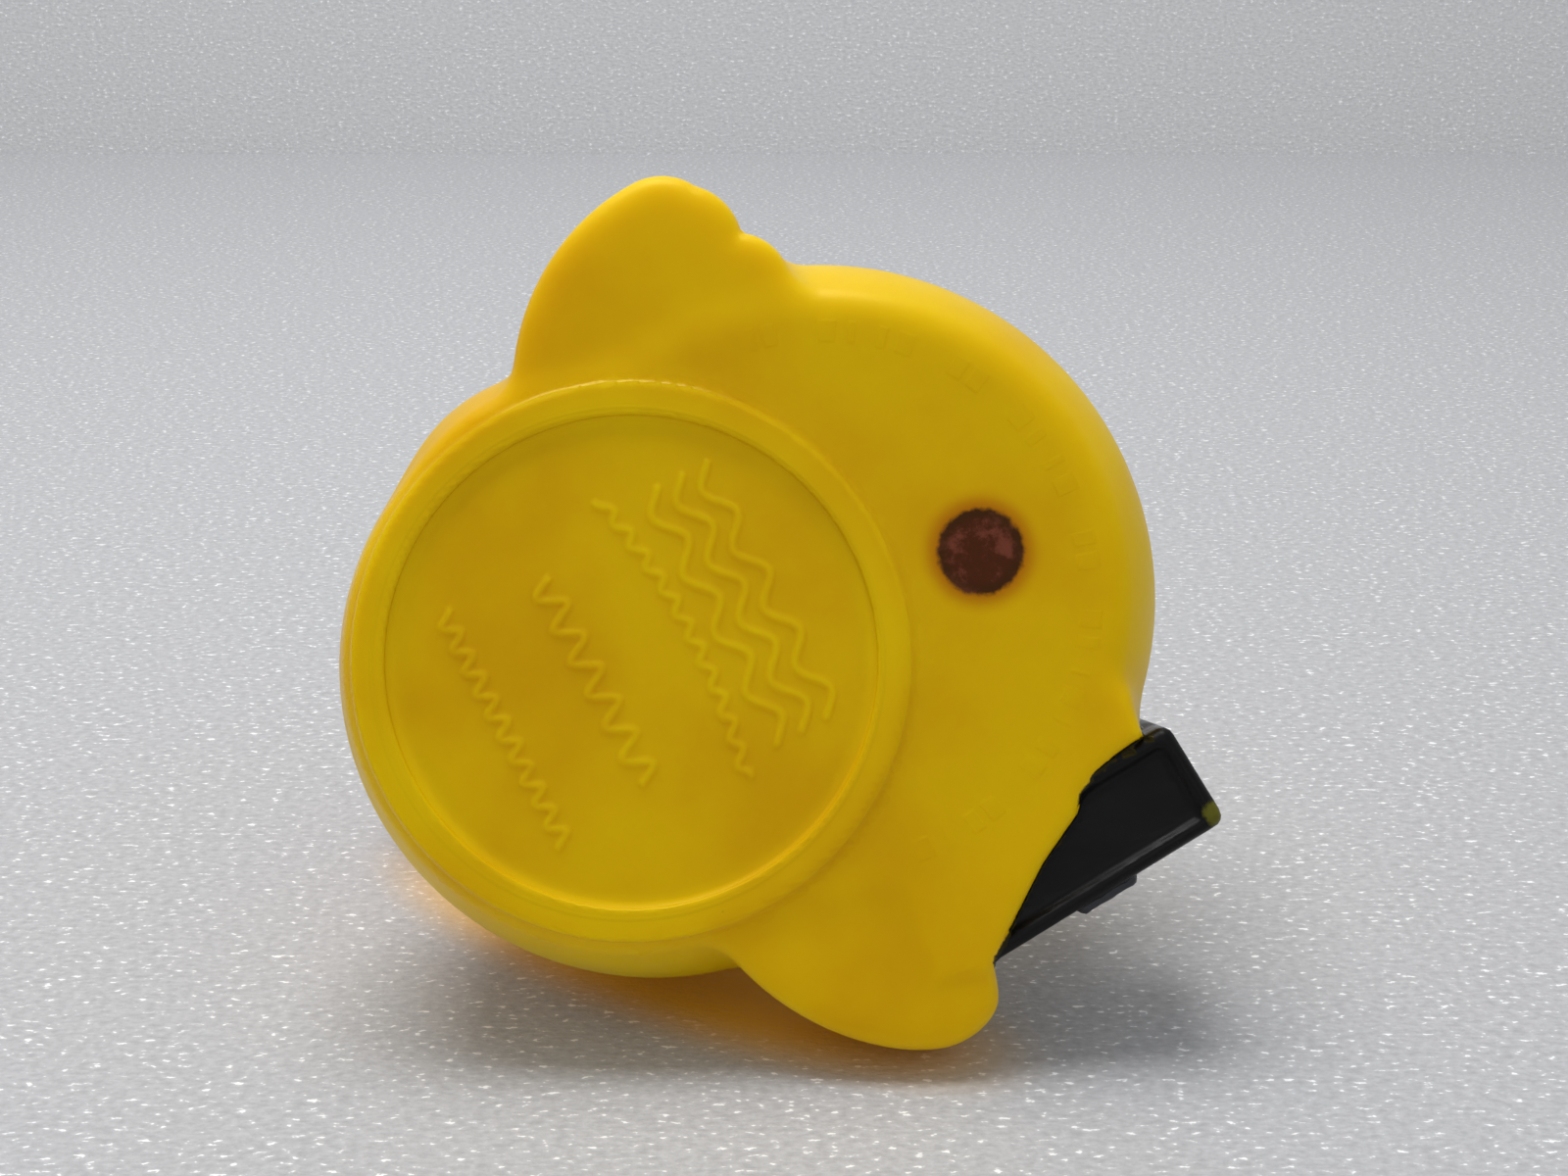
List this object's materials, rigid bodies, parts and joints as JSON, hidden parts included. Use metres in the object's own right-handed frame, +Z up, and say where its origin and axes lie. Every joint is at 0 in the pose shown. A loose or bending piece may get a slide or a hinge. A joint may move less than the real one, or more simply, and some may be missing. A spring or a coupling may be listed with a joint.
{
  "type": "vinyl bath duck",
  "caption": "Soft vinyl bath duck with spread wings and a case moulded at its side; glued lid in a foot ring, steel weight and reed squeaker inside.",
  "frame": {"origin": "centre of the foot ring, on the plane the duck stands on", "axes": "+Z up, the duck faces -Y, its left wing is on +X"},
  "size_m": [0.0887, 0.0867, 0.076],
  "materials": {
    "yellow_vinyl": "soft vinyl, satin",
    "lid_vinyl": "soft vinyl, satin",
    "weight_steel": "zinc plated",
    "squeaker_plastic": "white polyethylene",
    "reed_brass": "rolled strip"
  },
  "bodies": {
    "duck": {"body_shell": "yellow_vinyl", "base_lid": "lid_vinyl", "ballast_weight": "weight_steel", "squeaker_body": "squeaker_plastic", "squeaker_cap": "squeaker_plastic", "reed_bed": "squeaker_plastic"},
    "reed": {"reed": "reed_brass"}
  },
  "joints": [
    {"name": "reed_flex", "type": "hinge", "parent": "duck", "child": "reed", "pos_m": [0, 0.0438, 0.0179], "axis": [1, 0, 0], "range_deg": [0, 4], "stiffness_Nm_per_rad": 0.0004}
  ]
}
